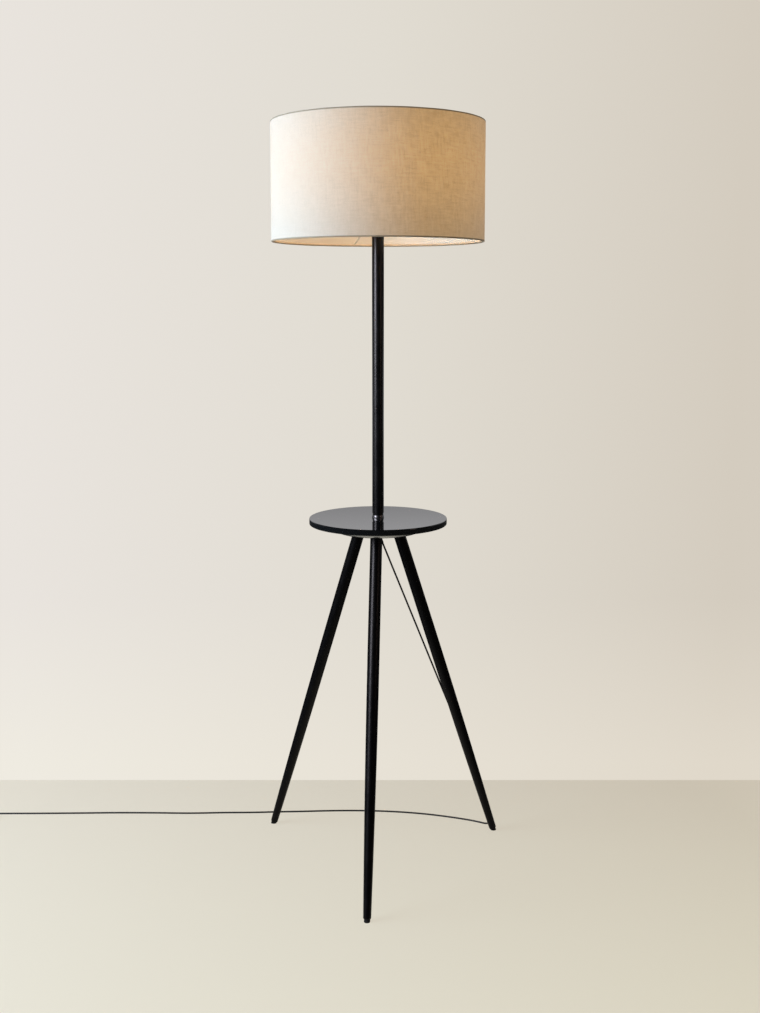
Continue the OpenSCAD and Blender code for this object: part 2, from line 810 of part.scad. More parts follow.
// Saddles that hold the lead against the back of the right leg
module lead_clips() {
  outer = lead_d / 2 + soft_gap + clip_wall;
  color([0.03, 0.03, 0.03])
    for (i = [0:len(clip_at) - 1]) {
      at = clip_at[i];
      lead_out = leg_r(at) + lead_leg_gap + lead_d / 2;
      on_leg(leg_turns[1])
        translate([0, 0, at])
          rotate([0, 0, clip_sides[i]])
            difference() {
              union() {
                translate([lead_out, 0, -clip_len / 2]) cylinder(h = clip_len, r = outer, $fn = 48);
                translate([leg_r(at) - 1, -outer - clip_pad_side, -clip_len / 2])
                  cube([clip_pad_t, 2 * (outer + clip_pad_side), clip_len]);
              }
              translate([lead_out, 0, -clip_len])
                cylinder(h = 2 * clip_len, r = lead_d / 2 + soft_gap, $fn = 48);
              translate([0, 0, -clip_len]) cylinder(h = 2 * clip_len, r = leg_r(at) + fit_gap, $fn = 96);
            }
    }
}

module lead_coil() {
  color([0.03, 0.03, 0.03]) swept(coil_points, lead_d / 2, coil_sides);
}

// Flat strap round the coil's turns
module coil_tie() {
  inner_r = coil_r - loop_pitch * coil_half / 360 - lead_d / 2 - soft_gap;
  outer_r = coil_r + lead_d / 2 + soft_gap;
  high = coil_z + layer_pitch + lead_d / 2 + soft_gap;
  color([0.1, 0.1, 0.1])
    translate([coil_mid[0], coil_mid[1] - tie_w / 2, 0])
      difference() {
        translate([inner_r - tie_t, 0, 0]) cube([outer_r - inner_r + 2 * tie_t, tie_w, high + tie_t]);
        translate([inner_r, -1, tie_t]) cube([outer_r - inner_r, tie_w + 2, high - tie_t]);
      }
}

// Moulded flat plug with the lead's sleeve
module plug_body() {
  color([0.03, 0.03, 0.03])
    translate(plug_mid)
      rotate([90, 0, 0]) {
        cylinder(h = sleeve_len + 1, d1 = lead_d + 1.6, d2 = 9, $fn = 32);
        translate([0, 0, sleeve_len])
          hull() {
            cylinder(h = 3, d = 11, $fn = 32);
            translate([0, 0, plug_len - 5])
              linear_extrude(5)
                hull()
                  for (side = [-1, 1])
                    translate([side * (plug_w - plug_t) / 2, 0]) circle(d = plug_t, $fn = 32);
          }
      }
}

// Children placed at both pins: local +Z runs out of the plug's face
module on_pins() {
  for (side = [-1, 1])
    translate([plug_mid[0] + side * pin_pitch / 2, plug_mid[1] - sleeve_len - plug_len, plug_mid[2]])
      rotate([90, 0, 0])
        children();
}

module pin_sleeves() {
  color([0.05, 0.05, 0.05])
    on_pins() cylinder(h = sleeve_pin_len, d = pin_d, $fn = 32);
}

module plug_pins() {
  color([0.8, 0.8, 0.82])
    on_pins() {
      translate([0, 0, sleeve_pin_len])
        cylinder(h = pin_len - pin_tip - sleeve_pin_len, d = pin_d, $fn = 32);
      translate([0, 0, pin_len - pin_tip])
        cylinder(h = pin_tip, d1 = pin_d, d2 = pin_d - pin_tip, $fn = 32);
    }
}

table_top();
hub_plate();
table_screws();
leg_front();
leg_right();
leg_left();
leg_seats();
leg_studs();
foot_glides();
centre_rod();
rod_washer();
rod_nut();
base_ring();
pole_foot();
pole_tube();
pole_top_plug();
holder_nipple();
nipple_nut();
lampholder_cap();
switch_bar();
lampholder_insert();
terminal_screws();
screw_shell();
centre_contact();
lampholder_shell();
clamp_ring_lower();
clamp_ring_upper();
bulb_cap();
bulb_contact();
bulb_glass();
shade_fitter_ring();
shade_spokes();
shade_bottom_ring();
shade_top_ring();
shade_liner();
shade_cover();
inner_lead();
lead_cores();
strain_relief();
lead_run();
lead_clips();
lead_coil();
coil_tie();
plug_body();
pin_sleeves();
plug_pins();
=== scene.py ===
"""Floor lamp with a round side table: finishes, mains lead, linen shade, studio and camera.

Everything is in metres in the part's frame: the origin is on the pole's axis at floor level, +Z is
up and the front leg points to -Y.
"""

import json
import math

import bpy
from mathutils import Matrix, Vector


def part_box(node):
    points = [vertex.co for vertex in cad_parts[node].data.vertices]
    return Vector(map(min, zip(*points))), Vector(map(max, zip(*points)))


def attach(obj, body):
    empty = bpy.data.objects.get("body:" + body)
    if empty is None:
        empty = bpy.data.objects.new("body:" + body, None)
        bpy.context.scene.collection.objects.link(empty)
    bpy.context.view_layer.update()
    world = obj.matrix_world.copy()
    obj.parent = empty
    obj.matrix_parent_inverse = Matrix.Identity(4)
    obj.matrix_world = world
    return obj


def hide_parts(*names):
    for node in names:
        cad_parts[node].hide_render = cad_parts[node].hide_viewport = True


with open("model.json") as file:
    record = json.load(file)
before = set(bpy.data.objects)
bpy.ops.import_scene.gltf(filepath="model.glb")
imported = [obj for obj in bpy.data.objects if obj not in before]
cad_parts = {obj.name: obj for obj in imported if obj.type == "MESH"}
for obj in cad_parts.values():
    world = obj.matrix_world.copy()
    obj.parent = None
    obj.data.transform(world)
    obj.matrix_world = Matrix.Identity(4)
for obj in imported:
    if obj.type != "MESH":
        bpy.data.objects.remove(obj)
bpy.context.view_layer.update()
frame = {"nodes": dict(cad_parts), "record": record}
nodes = frame["nodes"]


def new_object(name, data):
    """An object that is in the scene."""
    thing = bpy.data.objects.new(name, data)
    bpy.context.scene.collection.objects.link(thing)
    return thing


# ---- Camera

# The camera's own frame: X to the picture's right, Y away from the viewer, Z up. It is turned
# about the pole from the part's frame.
VIEW_TURN = math.radians(4.147)
CAMERA_PLACE = (0.0043, -2.6326, 1.2589)
CAMERA_DOWN = math.radians(9.586)
CAMERA_LENS_MM = 43.206
CAMERA_SENSOR_MM = 36


def seen(x, y, z):
    """A point of the camera's own frame, in the part's frame."""
    return Matrix.Rotation(VIEW_TURN, 3, "Z") @ Vector((x, y, z))


def add_camera():
    data = bpy.data.cameras.new("camera")
    data.sensor_width = CAMERA_SENSOR_MM
    data.lens = CAMERA_LENS_MM
    camera = new_object("camera", data)
    camera.location = seen(*CAMERA_PLACE)
    camera.rotation_euler = (math.radians(90) - CAMERA_DOWN, 0, VIEW_TURN)
    bpy.context.scene.camera = camera


# ---- Node trees


class Shader:
    """A material's node tree, with a Principled shader at its end."""

    def __init__(self, name, **settings):
        self.material = bpy.data.materials.new(name)
        self.material.use_nodes = True
        self.tree = self.material.node_tree
        self.principled = self.tree.nodes["Principled BSDF"]
        self.place = self.tree.nodes.new("ShaderNodeTexCoord").outputs["Object"]
        self.finish(**settings)

    def feed(self, socket, value):
        """Links a socket, or sets its value."""
        if isinstance(value, bpy.types.NodeSocket):
            self.tree.links.new(value, socket)
        elif socket.type == "RGBA" and len(value) == 3:
            socket.default_value = (*value, 1)
        else:
            socket.default_value = value

    def add(self, kind, inputs, output=0, **settings):
        """Adds a node, and gives one of its outputs."""
        node = self.tree.nodes.new("ShaderNode" + kind)
        for key, value in settings.items():
            setattr(node, key, value)
        for key, value in inputs.items():
            self.feed(node.inputs[key], value)
        return node.outputs[output]

    def math(self, operation, a, b=0.0, c=0.0):
        return self.add("Math", {0: a, 1: b, 2: c}, operation=operation)

    def spread(self, value, low, high, from_low=0.0, from_high=1.0):
        """A value mapped so that from_low to from_high becomes low to high, and held there."""
        ends = {"From Min": from_low, "From Max": from_high, "To Min": low, "To Max": high}
        return self.add("MapRange", {"Value": value, **ends})

    def mix(self, factor, a, b, how="MIX"):
        """Two colours mixed. The Mix node's colour sockets are its seventh, eighth and third."""
        inputs = {0: factor, 6: a, 7: b}
        return self.add("Mix", inputs, output=2, data_type="RGBA", blend_type=how)

    def blend(self, value, start, end, a, b):
        """Colour a where the value is at start, turning to colour b where it is at end."""
        return self.mix(self.spread(value, 0.0, 1.0, start, end), a, b)

    def tinted(self, colour, tint):
        return self.mix(1.0, colour, tint, "MULTIPLY")

    def grey(self, value):
        """A colour that has one value in its three channels."""
        return self.add("CombineColor", {0: value, 1: value, 2: value})

    def split(self, place=None):
        """The three coordinates of a place, which is the shaded point if none is given."""
        node = self.tree.nodes.new("ShaderNodeSeparateXYZ")
        self.feed(node.inputs[0], self.place if place is None else place)
        return node.outputs

    def distance(self):
        """From the origin to the shaded point."""
        return self.add("VectorMath", {0: self.place}, output=1, operation="LENGTH")

    def noise(self, scale, stretch=(1, 1, 1), detail=2.0, roughness=0.5, place=None):
        """Noise from 0 to 1, with about scale patches to the metre, times stretch on each axis."""
        place = self.place if place is None else place
        vector = self.add("VectorMath", {0: place, 1: stretch}, operation="MULTIPLY")
        inputs = {"Vector": vector, "Scale": scale, "Detail": detail, "Roughness": roughness}
        return self.add("TexNoise", inputs)

    def bump(self, height, depth, over=None):
        """A bump of a given depth in metres, over another one."""
        inputs = {"Height": height, "Distance": depth, "Strength": 1.0}
        if over is not None:
            inputs["Normal"] = over
        return self.add("Bump", inputs)

    def finish(self, **sockets):
        """Links or sets sockets of the Principled shader, and gives the material."""
        for key, value in sockets.items():
            self.feed(self.principled.inputs[key.replace("_", " ")], value)
        return self.material


# ---- Metals, lacquers and plastics

LACQUER_COLOUR = (0.006, 0.006, 0.007)
DUST_COLOUR = (0.03, 0.03, 0.029)
DUST_ROUGH = 0.2                    # how much rougher the lacquer is under a speck
SATIN_COLOUR = (0.0024, 0.0018, 0.0021)
SATIN_PALE = tuple(1.9 * c for c in SATIN_COLOUR)
MARKS_DEPTH = 0.000006              # of the rings and spangles on metal


def gloss_lacquer():
    """Deep black lacquer: mirror-like, with faint waves, hairline scratches and a little dust."""
    s = Shader("gloss_lacquer", IOR=1.5)
    waves = s.noise(26, detail=1)
    hairs = s.noise(9, stretch=(1, 60, 1), detail=5, roughness=0.7)
    specks = s.spread(s.noise(520, detail=2), 0.0, 1.0, 0.68, 0.78)
    scratched = s.spread(hairs, 0.015, 0.06, 0.45, 0.8)
    return s.finish(
        Base_Color=s.mix(specks, LACQUER_COLOUR, DUST_COLOUR),
        Roughness=s.math("ADD", scratched, s.math("MULTIPLY", specks, DUST_ROUGH)),
        Normal=s.bump(hairs, 0.000002, s.bump(waves, 0.00002)),
    )


def polished(name, colour, rough, turned=0.0, spangle=0.0):
    """Metal with handling marks; turned gives fine rings about the pole's axis, spangle patches."""
    s = Shader(name, Metallic=1.0)
    x, y, z = s.split()
    radius = s.math("SQRT", s.math("ADD", s.math("MULTIPLY", x, x), s.math("MULTIPLY", y, y)))
    rings = s.noise(2400, place=s.add("CombineXYZ", {0: radius, 2: z}))
    smudges = s.noise(38, detail=3, roughness=0.6)
    patches = s.math("MULTIPLY", s.noise(160, detail=1), spangle)
    tone = s.spread(s.math("ADD", smudges, patches), 0.86, 1.0, 0.3, 0.9)
    marks = s.math("ADD", s.math("MULTIPLY", rings, turned), patches)
    return s.finish(
        Base_Color=s.tinted(colour, s.grey(tone)),
        Roughness=s.spread(smudges, rough * 0.7, rough * 1.6, 0.3, 0.75),
        Normal=s.bump(marks, MARKS_DEPTH),
    )


def satin_black(name, rough, peel, gloss, grain=0.0):
    """Satin lacquer: orange peel in the film, uneven wear, and paler streaks up the piece.

    peel is the depth of the orange peel, and grain that of the streaks, for lacquered wood.
    """
    s = Shader(name, Specular_IOR_Level=gloss)
    film = s.noise(650, detail=1)
    wear = s.spread(s.noise(30, detail=4, roughness=0.6), -0.04, 0.05, 0.35, 0.7)
    streaks = s.noise(150, stretch=(1, 1, 0.035), detail=3, roughness=0.6)
    return s.finish(
        Base_Color=s.mix(s.spread(streaks, 0.0, 0.55, 0.4, 0.75), SATIN_COLOUR, SATIN_PALE),
        Roughness=s.math("ADD", wear, s.spread(streaks, rough, rough + 0.06)),
        Normal=s.bump(film, peel, s.bump(streaks, grain)),
    )


def moulded(name, colour, rough, texture=0.00001, **settings):
    """Moulded plastic, rubber or glaze with a fine eroded texture and faint flow marks."""
    s = Shader(name, **settings)
    erode = s.noise(1500, detail=2)
    flow = s.noise(45, stretch=(1, 1, 0.4), detail=2)
    paler = tuple(min(1.0, c * 1.25 + 0.004) for c in colour)
    return s.finish(
        Base_Color=s.blend(flow, 0.35, 0.7, colour, paler),
        Roughness=s.spread(erode, rough - 0.06, rough + 0.08, 0.3, 0.7),
        Normal=s.bump(erode, texture),
    )


# ---- Bulb glass, linen and liner

BULB_COLOUR = (0.4, 0.39, 0.37)
BULB_GLOW_AT_CAP = (0.5, 0.33, 0.17)
BULB_GLOW = (0.82, 0.69, 0.5)
BULB_DIM_SHARE = 0.6                # of the glass's height, from the cap to the full glow
SEAM_TURN = math.radians(50.4)      # where the shade's cover and liner overlap
LINEN_COLOUR = (0.63, 0.593, 0.538)
LINEN_DEPTH = 0.00011               # of the threads and slubs
LINEN_BOUNCE_LIFT = (1.08, 0.12)           # painted floor bounce: this much paler at the lower edge, and how far up
THREAD = 0.00075
SLUB_TINT = (1.04, 1.0, 0.91)       # the slubs reflect more red than the thin places
THIN_TINT = (0.96, 1.0, 1.09)
SLUB_GLOW = (0.62, 0.54, 0.36)      # the share of the bulb's light that comes through a slub
THIN_GLOW = (1.13, 1.16, 1.24)      # and through a thin place, against the mean
SLUB_CONTRAST = (0.12, 0.93)        # on the side that daylight washes out, and on the other
SLUB_MEAN = 0.6                     # the tone that stays where there is no contrast
GLOW_COLOUR = (0.505, 0.262, 0.06)  # the bulb's light through the cover, painted on as glow
GLOW_HEIGHT = 1.535
GLOW_FALL = 1.25
WIRE_BAND = (0.0022, 0.0034)        # from the edge to where the light comes through
WIRE_GLUE_AND_SHADE_TINT = (0.64, 0.48, 0.32)      # glued cloth and painted shade make the rolled edge darker
WIRE_GLOW = 0.13
LINER_COLOURS = ((0.88, 0.82, 0.72), (0.92, 0.87, 0.78))
LINER_OVERLAP = 0.007
LINER_STEP = 0.0006                 # over which the overlap rises
LINER_LINE = (0.0003, 0.0009)       # half the dark line at the overlap's edges, and its blur
LINER_LINE_COLOUR = (0.55, 0.46, 0.34)


def opal_glass():
    """Lit opal glass, which is dimmer towards the cap at its lower end."""
    low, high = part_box("bulb_glass")
    s = Shader("opal_glass", Roughness=0.35, IOR=1.5, Emission_Strength=1.0)
    _, _, z = s.split()
    bright_z = low.z + BULB_DIM_SHARE * (high.z - low.z)
    cloud = s.spread(s.noise(60, detail=2), 0.94, 1.0, 0.3, 0.7)
    glow = s.blend(z, low.z, bright_z, BULB_GLOW_AT_CAP, BULB_GLOW)
    return s.finish(Base_Color=BULB_COLOUR, Emission_Color=s.tinted(glow, s.grey(cloud)))


def wrapped(s, radius):
    """Sockets for the way round a cylinder, counted from the seam, and up it, both in metres."""
    turned = s.add(
        "VectorRotate",
        {"Vector": s.place, "Angle": math.pi - SEAM_TURN},
        rotation_type="Z_AXIS",
    )
    x, y, z = s.split(turned)
    return s.math("MULTIPLY", s.math("ARCTAN2", y, x), radius), z


def weave(s, around, up, place):
    """The height of plain weave: the warp is on top in one square of checks, then the weft."""
    wander = s.math("SUBTRACT", s.noise(90, place=place, detail=1), 0.5)
    wander = s.math("MULTIPLY", wander, THREAD)
    warp = s.math("SINE", s.math("MULTIPLY", s.math("ADD", around, wander), math.pi / THREAD))
    weft = s.math("SINE", s.math("MULTIPLY", s.math("ADD", up, wander), math.pi / THREAD))
    checks = s.spread(s.math("MULTIPLY", warp, weft), 0.0, 1.0, -0.5, 0.5)
    return s.math(
        "ADD",
        s.math("MULTIPLY", s.math("ABSOLUTE", warp), checks),
        s.math("MULTIPLY", s.math("ABSOLUTE", weft), s.math("SUBTRACT", 1.0, checks)),
    )


def slub_map(s, place):
    """Thick places of the threads both ways: fine ones, and broader and fainter ones."""
    weft = s.noise(1, stretch=(64, 560, 1), place=place, detail=3, roughness=0.65)
    warp = s.noise(1, stretch=(560, 54, 1), place=place, detail=3, roughness=0.65)
    broad_weft = s.noise(1, stretch=(36, 230, 1), place=place, detail=2)
    broad_warp = s.noise(1, stretch=(230, 34, 1), place=place, detail=2)
    fine = s.math("MAXIMUM", weft, warp)
    slubs = s.math("ADD", fine, s.math("MULTIPLY", broad_weft, 0.5))
    return s.math("ADD", slubs, s.math("MULTIPLY", broad_warp, 0.5))


def linen():
    """Natural linen in plain weave with slubs both ways, with the bulb's light through it painted on
    as glow.
    """
    low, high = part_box("shade_cover")
    radius = (high.x - low.x) / 2
    s = Shader(
        "linen", Roughness=0.9, Sheen_Weight=0.15, Sheen_Roughness=0.4, Emission_Strength=1.0
    )
    around, up = wrapped(s, radius)
    place = s.add("CombineXYZ", {0: around, 1: up})
    ridges = weave(s, around, up, place)
    slubs = slub_map(s, place)

    # The tone is 0 in a slub and 1 in a thin place
    x, _, _ = s.split()
    contrast = s.spread(x, *SLUB_CONTRAST, -radius, 0.3 * radius)
    tone = s.math("SUBTRACT", s.spread(slubs, 1.0, 0.0, 0.86, 1.26), SLUB_MEAN)
    tone = s.math("MULTIPLY_ADD", tone, contrast, SLUB_MEAN)
    # Painted shade: darker in the weave's low places between the threads
    weave_shade = s.spread(ridges, 0.72, 1.0, 0.15, 0.75)

    # Painted floor bounce: the cloth is paler towards its lower edge
    paler, rise = LINEN_BOUNCE_LIFT
    shade = s.math("MULTIPLY", weave_shade, s.spread(up, paler, 1.0, low.z, low.z + rise))
    base = s.tinted(LINEN_COLOUR, s.mix(tone, SLUB_TINT, THIN_TINT))
    base = s.tinted(base, s.grey(shade))
    edge = s.math("MINIMUM", s.math("SUBTRACT", up, low.z), s.math("SUBTRACT", high.z, up))
    clear = s.spread(edge, WIRE_GLOW, 1.0, *WIRE_BAND)
    # Darker round the wires: glued cloth, and painted shade on the rolled edge
    base = s.mix(clear, s.tinted(base, WIRE_GLUE_AND_SHADE_TINT), base)

    # The bulb's light on the inside, painted on the cover as glow, falls with the distance from its
    # middle
    lift = s.math("SUBTRACT", up, GLOW_HEIGHT)
    near = s.math("DIVIDE", radius * radius, s.math("MULTIPLY_ADD", lift, lift, radius * radius))
    near = s.math("POWER", near, GLOW_FALL)
    through = s.math("MULTIPLY", s.math("MULTIPLY", near, clear), weave_shade)
    glow = s.tinted(GLOW_COLOUR, s.grey(through))
    glow = s.tinted(glow, s.mix(tone, SLUB_GLOW, THIN_GLOW))
    height = s.math("ADD", ridges, s.math("MULTIPLY", slubs, 0.8))
    return s.finish(Base_Color=base, Emission_Color=glow, Normal=s.bump(height, LINEN_DEPTH))


def liner():
    """White laminate inside the shade, with a faint mottle and the two edges of its overlap."""
    low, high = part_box("shade_liner")
    s = Shader("shade_liner", Roughness=0.55)
    around, _ = wrapped(s, (high.x - low.x) / 2)
    away = s.math("ABSOLUTE", around)
    half = LINER_OVERLAP / 2
    mottle = s.noise(240, detail=2)
    tone = s.blend(s.noise(14, detail=2), 0.3, 0.7, *LINER_COLOURS)
    seam = s.math("ABSOLUTE", s.math("SUBTRACT", away, half))
    tone = s.blend(seam, *LINER_LINE, LINER_LINE_COLOUR, tone)
    step = s.spread(away, 1.0, 0.0, half, half + LINER_STEP)
    return s.finish(Base_Color=tone, Normal=s.bump(step, 0.0005, s.bump(mottle, 0.00003)))


def make_materials():
    """The materials by the names of the slots that they fill."""
    return {
        "gloss_lacquer": gloss_lacquer(),
        "polished_aluminium": polished(
            "polished_aluminium", (0.52, 0.53, 0.54), rough=0.18, turned=1.0
        ),
        "zinc_steel": polished("zinc_steel", (0.58, 0.59, 0.6), rough=0.3, spangle=1.0),
        "black_leg": satin_black("black_leg", rough=0.3, peel=0.000004, gloss=0.12, grain=0.00001),
        "black_plastic": moulded("black_plastic", (0.012, 0.012, 0.012), rough=0.5),
        "black_rubber": moulded(
            "black_rubber", (0.003, 0.003, 0.003), rough=0.8, texture=0.00003, Specular_IOR_Level=0.2
        ),
        "polished_steel": polished("polished_steel", (0.1, 0.1, 0.103), rough=0.3, turned=0.6),
        "black_pole": satin_black("black_pole", rough=0.28, peel=0.000005, gloss=0.25),
        "brass": polished("brass", (0.72, 0.56, 0.28), rough=0.28, spangle=0.4),
        "white_ceramic": moulded(
            "white_ceramic", (0.8, 0.79, 0.75), rough=0.3, texture=0.000004, Coat_Weight=0.6
        ),
        "bulb_metal": polished("bulb_metal", (0.74, 0.74, 0.75), rough=0.2, spangle=0.3),
        "opal_glass": opal_glass(),
        "white_wire": moulded("white_wire", (0.75, 0.66, 0.53), rough=0.5, texture=0.00002),
        "shade_liner": liner(),
        "linen": linen(),
        "lead_sheath": moulded(
            "lead_sheath", (0.0022, 0.0022, 0.0022), rough=0.5, texture=0.000012,
            Specular_IOR_Level=0.3,
        ),
        "core_sheath": moulded("core_sheath", (0.22, 0.1, 0.045), rough=0.4),
        "plug_plastic": moulded("plug_plastic", (0.014, 0.014, 0.014), rough=0.45),
    }


# ---- Mesh helpers


def new_piece(name, data, material):
    data.materials.append(material)
    return new_object(name, data)


def arc(centre, radius, start, end, steps):
    """Points of an arc between two angles in degrees, each a (radius, height) pair."""
    found = []
    for i in range(steps + 1):
        turn = math.radians(start + (end - start) * i / steps)
        found.append((centre[0] + radius * math.cos(turn), centre[1] + radius * math.sin(turn)))
    return found


def wave(turns):
    """From 0 up to 1 and back in each turn."""
    return 0.5 - 0.5 * math.cos(2 * math.pi * turns)


def lathe(name, profile, material, segments, shift=None):
    """A closed outline of (radius, height) points turned about Z; shift moves each point.

    The outline runs down the outside and up the inside.
    """
    points = []
    for i in range(segments):
        turn = 2 * math.pi * i / segments
        for r, z in profile:
            if shift:
                r, z = shift(r, z, turn)
            points.append((r * math.cos(turn), r * math.sin(turn), z))
    count = len(profile)
    faces = []
    for i in range(segments):
        here, there = i * count, (i + 1) % segments * count
        for k in range(count):
            after = (k + 1) % count
            faces.append((here + k, here + after, there + after, there + k))
    mesh = bpy.data.meshes.new(name)
    mesh.from_pydata(points, [], faces)
    mesh.shade_smooth()
    return new_piece(name, mesh, material)


# ---- Mains lead: its route

LEAD_D = 0.004
RELIEF_ROOT = Vector((0, 0, 0.758))
RELIEF_LEN = 0.028
RELIEF_TURN = math.radians(34.1)    # the way it leans, from +X
RELIEF_TILT = math.radians(23.9)    # how far it leans, from straight down
RELIEF_DIR = Vector((
    math.sin(RELIEF_TILT) * math.cos(RELIEF_TURN),
    math.sin(RELIEF_TILT) * math.sin(RELIEF_TURN),
    -math.cos(RELIEF_TILT),
))
COIL_MID = (-0.982, 0.123)
COIL_R = 0.029
COIL_START = 94.8                   # degrees, as are the next two
COIL_SWEEP = 5 * 360 + 180 - COIL_START
COIL_CLIMB = 180
COIL_STEPS_A_TURN = 48
COIL_LIFT = 0.0006                  # from the floor to the coil
COIL_Z = LEAD_D / 2 + COIL_LIFT
COIL_TAIL = 0.014
COIL_RUN_IN = (0.026, 0.006)        # where the lead's last points lie before the coil
LOOP_PITCH = 0.0051
LAYER_PITCH = 0.0046

# The lead's route from the strain relief to the coil, as in the part's source, in millimetres
LEAD_ROUTE_MM = [
    (43.7, 29.6, 639), (87.3, 59.2, 520.5), (131, 88.8, 401.5), (149.5, 101.3, 351.5),
    (166.8, 113.1, 304), (178.6, 119.7, 267.5), (190.8, 126.5, 230),
    (206.3, 135, 183), (221.4, 143, 136), (233.5, 149.3, 98.5),
    (245.5, 155.5, 61), (252.8, 159.5, 37.5), (256.5, 164, 20), (255, 172, 8.5),
    (247.5, 181.5, 3.2), (232, 191, 2), (206, 201.5, 2),
    (160, 215, 2), (100, 228, 2), (30, 236, 2), (-50, 237, 2), (-130, 231, 2), (-205, 221.5, 2),
    (-274, 213.5, 2), (-310, 208.5, 2), (-354, 204, 2), (-399, 200, 2), (-484, 190.5, 2),
    (-575, 186, 2), (-667, 180, 2), (-760, 171, 2), (-860, 162, 2), (-920, 157.2, 2),
]
SMOOTH_STEPS = 6


def smooth(points):
    """More points on the smooth curve through the given ones, the ends kept."""
    found = []
    for i in range(len(points) - 1):
        a, b = points[max(i - 1, 0)], points[i]
        c, d = points[i + 1], points[min(i + 2, len(points) - 1)]
        for step in range(SMOOTH_STEPS):
            t = step / SMOOTH_STEPS
            found.append(
                0.5 * (2 * b + (c - a) * t + (2 * a - 5 * b + 4 * c - d) * t**2
                       + (3 * b - a - 3 * c + d) * t**3)
            )
    return [*found, points[-1]]


def coil_point(angle):
    """A point of the coil at an angle in degrees counted from its start.

    The loops wind inwards on the floor, climb by a layer, and wind outwards on top.
    """
    half = (COIL_SWEEP - COIL_CLIMB) / 2
    turned_in = min(angle, half, COIL_SWEEP - angle)
    climbed = min(1, max(0, (angle - half) / COIL_CLIMB))
    radius = COIL_R - LOOP_PITCH * turned_in / 360
    turn = math.radians(COIL_START + angle)
    x = COIL_MID[0] + radius * math.cos(turn)
    y = COIL_MID[1] + radius * math.sin(turn)
    return Vector((x, y, COIL_Z + LAYER_PITCH * climbed))


def lead_points():
    """The lead's middle line, from the strain relief's tip to the plug."""
    start = math.radians(COIL_START)
    heading = Vector((-math.sin(start), math.cos(start), 0))
    gate = coil_point(0)
    far, near = COIL_RUN_IN
    route = [RELIEF_ROOT + RELIEF_LEN * RELIEF_DIR]
    route += [Vector(p) / 1000 for p in LEAD_ROUTE_MM]
    route += [gate - far * heading - Vector((0, 0, COIL_LIFT)), gate - near * heading]
    steps = round(COIL_SWEEP / 360 * COIL_STEPS_A_TURN)
    coil = [coil_point(COIL_SWEEP * i / steps) for i in range(steps + 1)]
    end = Vector((COIL_MID[0] - COIL_R, COIL_MID[1] - COIL_TAIL, COIL_Z + LAYER_PITCH))
    return [*smooth(route), *coil, end]


# ---- Mains lead: its pieces

RELIEF_ROOT_R = 0.0042
RELIEF_TIP_R = 0.0027
RELIEF_CORE_R = 0.0005              # the axis stays open, inside the lead
RELIEF_SUNK = 0.0015                # how far the sleeve goes into its head
RELIEF_STEPS = 118
RELIEF_HEAD_R = 0.006
RELIEF_HEAD_EDGE = 0.0004
GROOVES = (0.006, 0.0255)           # where they begin and end, from the sleeve's root
GROOVE_PITCH = 0.0026
GROOVE_DEPTH = 0.0006
PLUG_SLEEVE_LEN = 0.023
PLUG_SLEEVE_R = (0.0028, 0.0045)    # at the lead, and at the plug's body
PLUG_RIBS = (0.005, 0.0085, 0.012, 0.0155)      # along the sleeve from the lead's end
PLUG_RIB_R = 0.0007
PLUG_RIB_POINTS = 12


def add_strain_relief(materials):
    """The strain relief: a round head, and a tapered sleeve with grooves that let it bend."""
    whole = RELIEF_LEN + RELIEF_SUNK
    outside = []
    for i in range(RELIEF_STEPS + 1):
        z = RELIEF_LEN - whole * i / RELIEF_STEPS
        r = RELIEF_TIP_R + (RELIEF_ROOT_R - RELIEF_TIP_R) * (RELIEF_LEN - z) / whole
        if GROOVES[0] < z < GROOVES[1]:
            r -= GROOVE_DEPTH * wave((z - GROOVES[0]) / GROOVE_PITCH)
        outside.append((r, z))
    inside = [(RELIEF_CORE_R, -RELIEF_SUNK), (RELIEF_CORE_R, RELIEF_LEN)]
    sleeve = lathe("relief_sleeve", outside + inside, materials["lead_sheath"], 48)
    aim = RELIEF_DIR.to_track_quat("Z", "Y").to_matrix().to_4x4()
    sleeve.data.transform(Matrix.Translation(RELIEF_ROOT) @ aim)

    top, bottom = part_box("strain_relief")[1].z, RELIEF_ROOT.z
    wide, edge = RELIEF_HEAD_R, RELIEF_HEAD_EDGE
    outside = [(wide - edge, top), (wide, top - edge), (wide, bottom + edge), (wide - edge, bottom)]
    outline = [(RELIEF_CORE_R, top), *outside, (RELIEF_CORE_R, bottom)]
    head = lathe("relief_head", outline, materials["lead_sheath"], 48)
    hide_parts("strain_relief")
    for piece in (sleeve, head):
        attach(piece, "lamp")
    return [sleeve, head]


def add_plug_ribs(materials, root):
    """Raised ribs round the plug's sleeve, to grip it by. The root is where the lead ends."""
    thin, thick = PLUG_SLEEVE_R
    upright = Matrix.Rotation(math.radians(90), 4, "X")
    ribs = []
    for i, along in enumerate(PLUG_RIBS):
        middle = thin + (thick - thin) * along / PLUG_SLEEVE_LEN
        outline = arc((middle, 0), PLUG_RIB_R, 0, -360, PLUG_RIB_POINTS)[:-1]
        rib = lathe("plug_rib_" + str(i + 1), outline, materials["plug_plastic"], 40)
        rib.data.transform(Matrix.Translation(root - Vector((0, along, 0))) @ upright)
        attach(rib, "lamp")
        ribs.append(rib)
    return ribs


